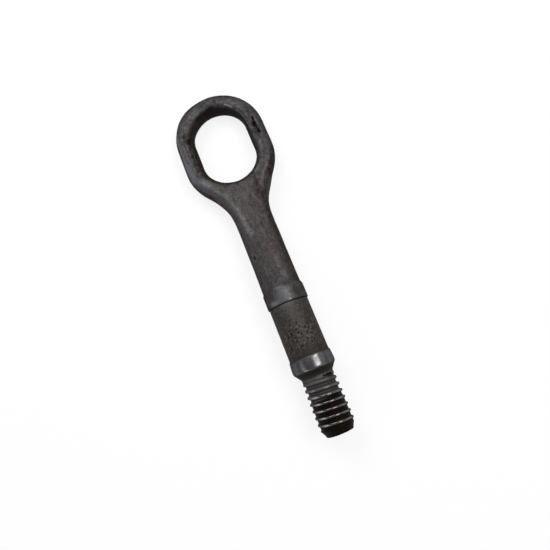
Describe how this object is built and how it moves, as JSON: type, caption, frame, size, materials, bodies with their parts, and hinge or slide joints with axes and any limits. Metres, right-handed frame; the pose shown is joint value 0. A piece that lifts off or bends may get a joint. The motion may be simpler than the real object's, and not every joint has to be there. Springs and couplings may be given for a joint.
{
  "type": "screw-in towing eye",
  "caption": "Forged steel towing eye with an obround ring, a round shank with two turned collars, and a coarse left-hand thread.",
  "frame": {"origin": "on the screw axis, in the plane where the pilot collar's thread-side edge starts its cone", "axes": "+Y along the screw axis towards the eye, so the thread points along -Y; +Z out of the front face of the eye, +X across the eye"},
  "size_m": [0.0534, 0.1995, 0.0226],
  "materials": {
    "steel": "dark forged scale with bare turned collars and a greasy thread"
  },
  "bodies": {
    "root": {"tow_hook": "steel"}
  },
  "joints": []
}
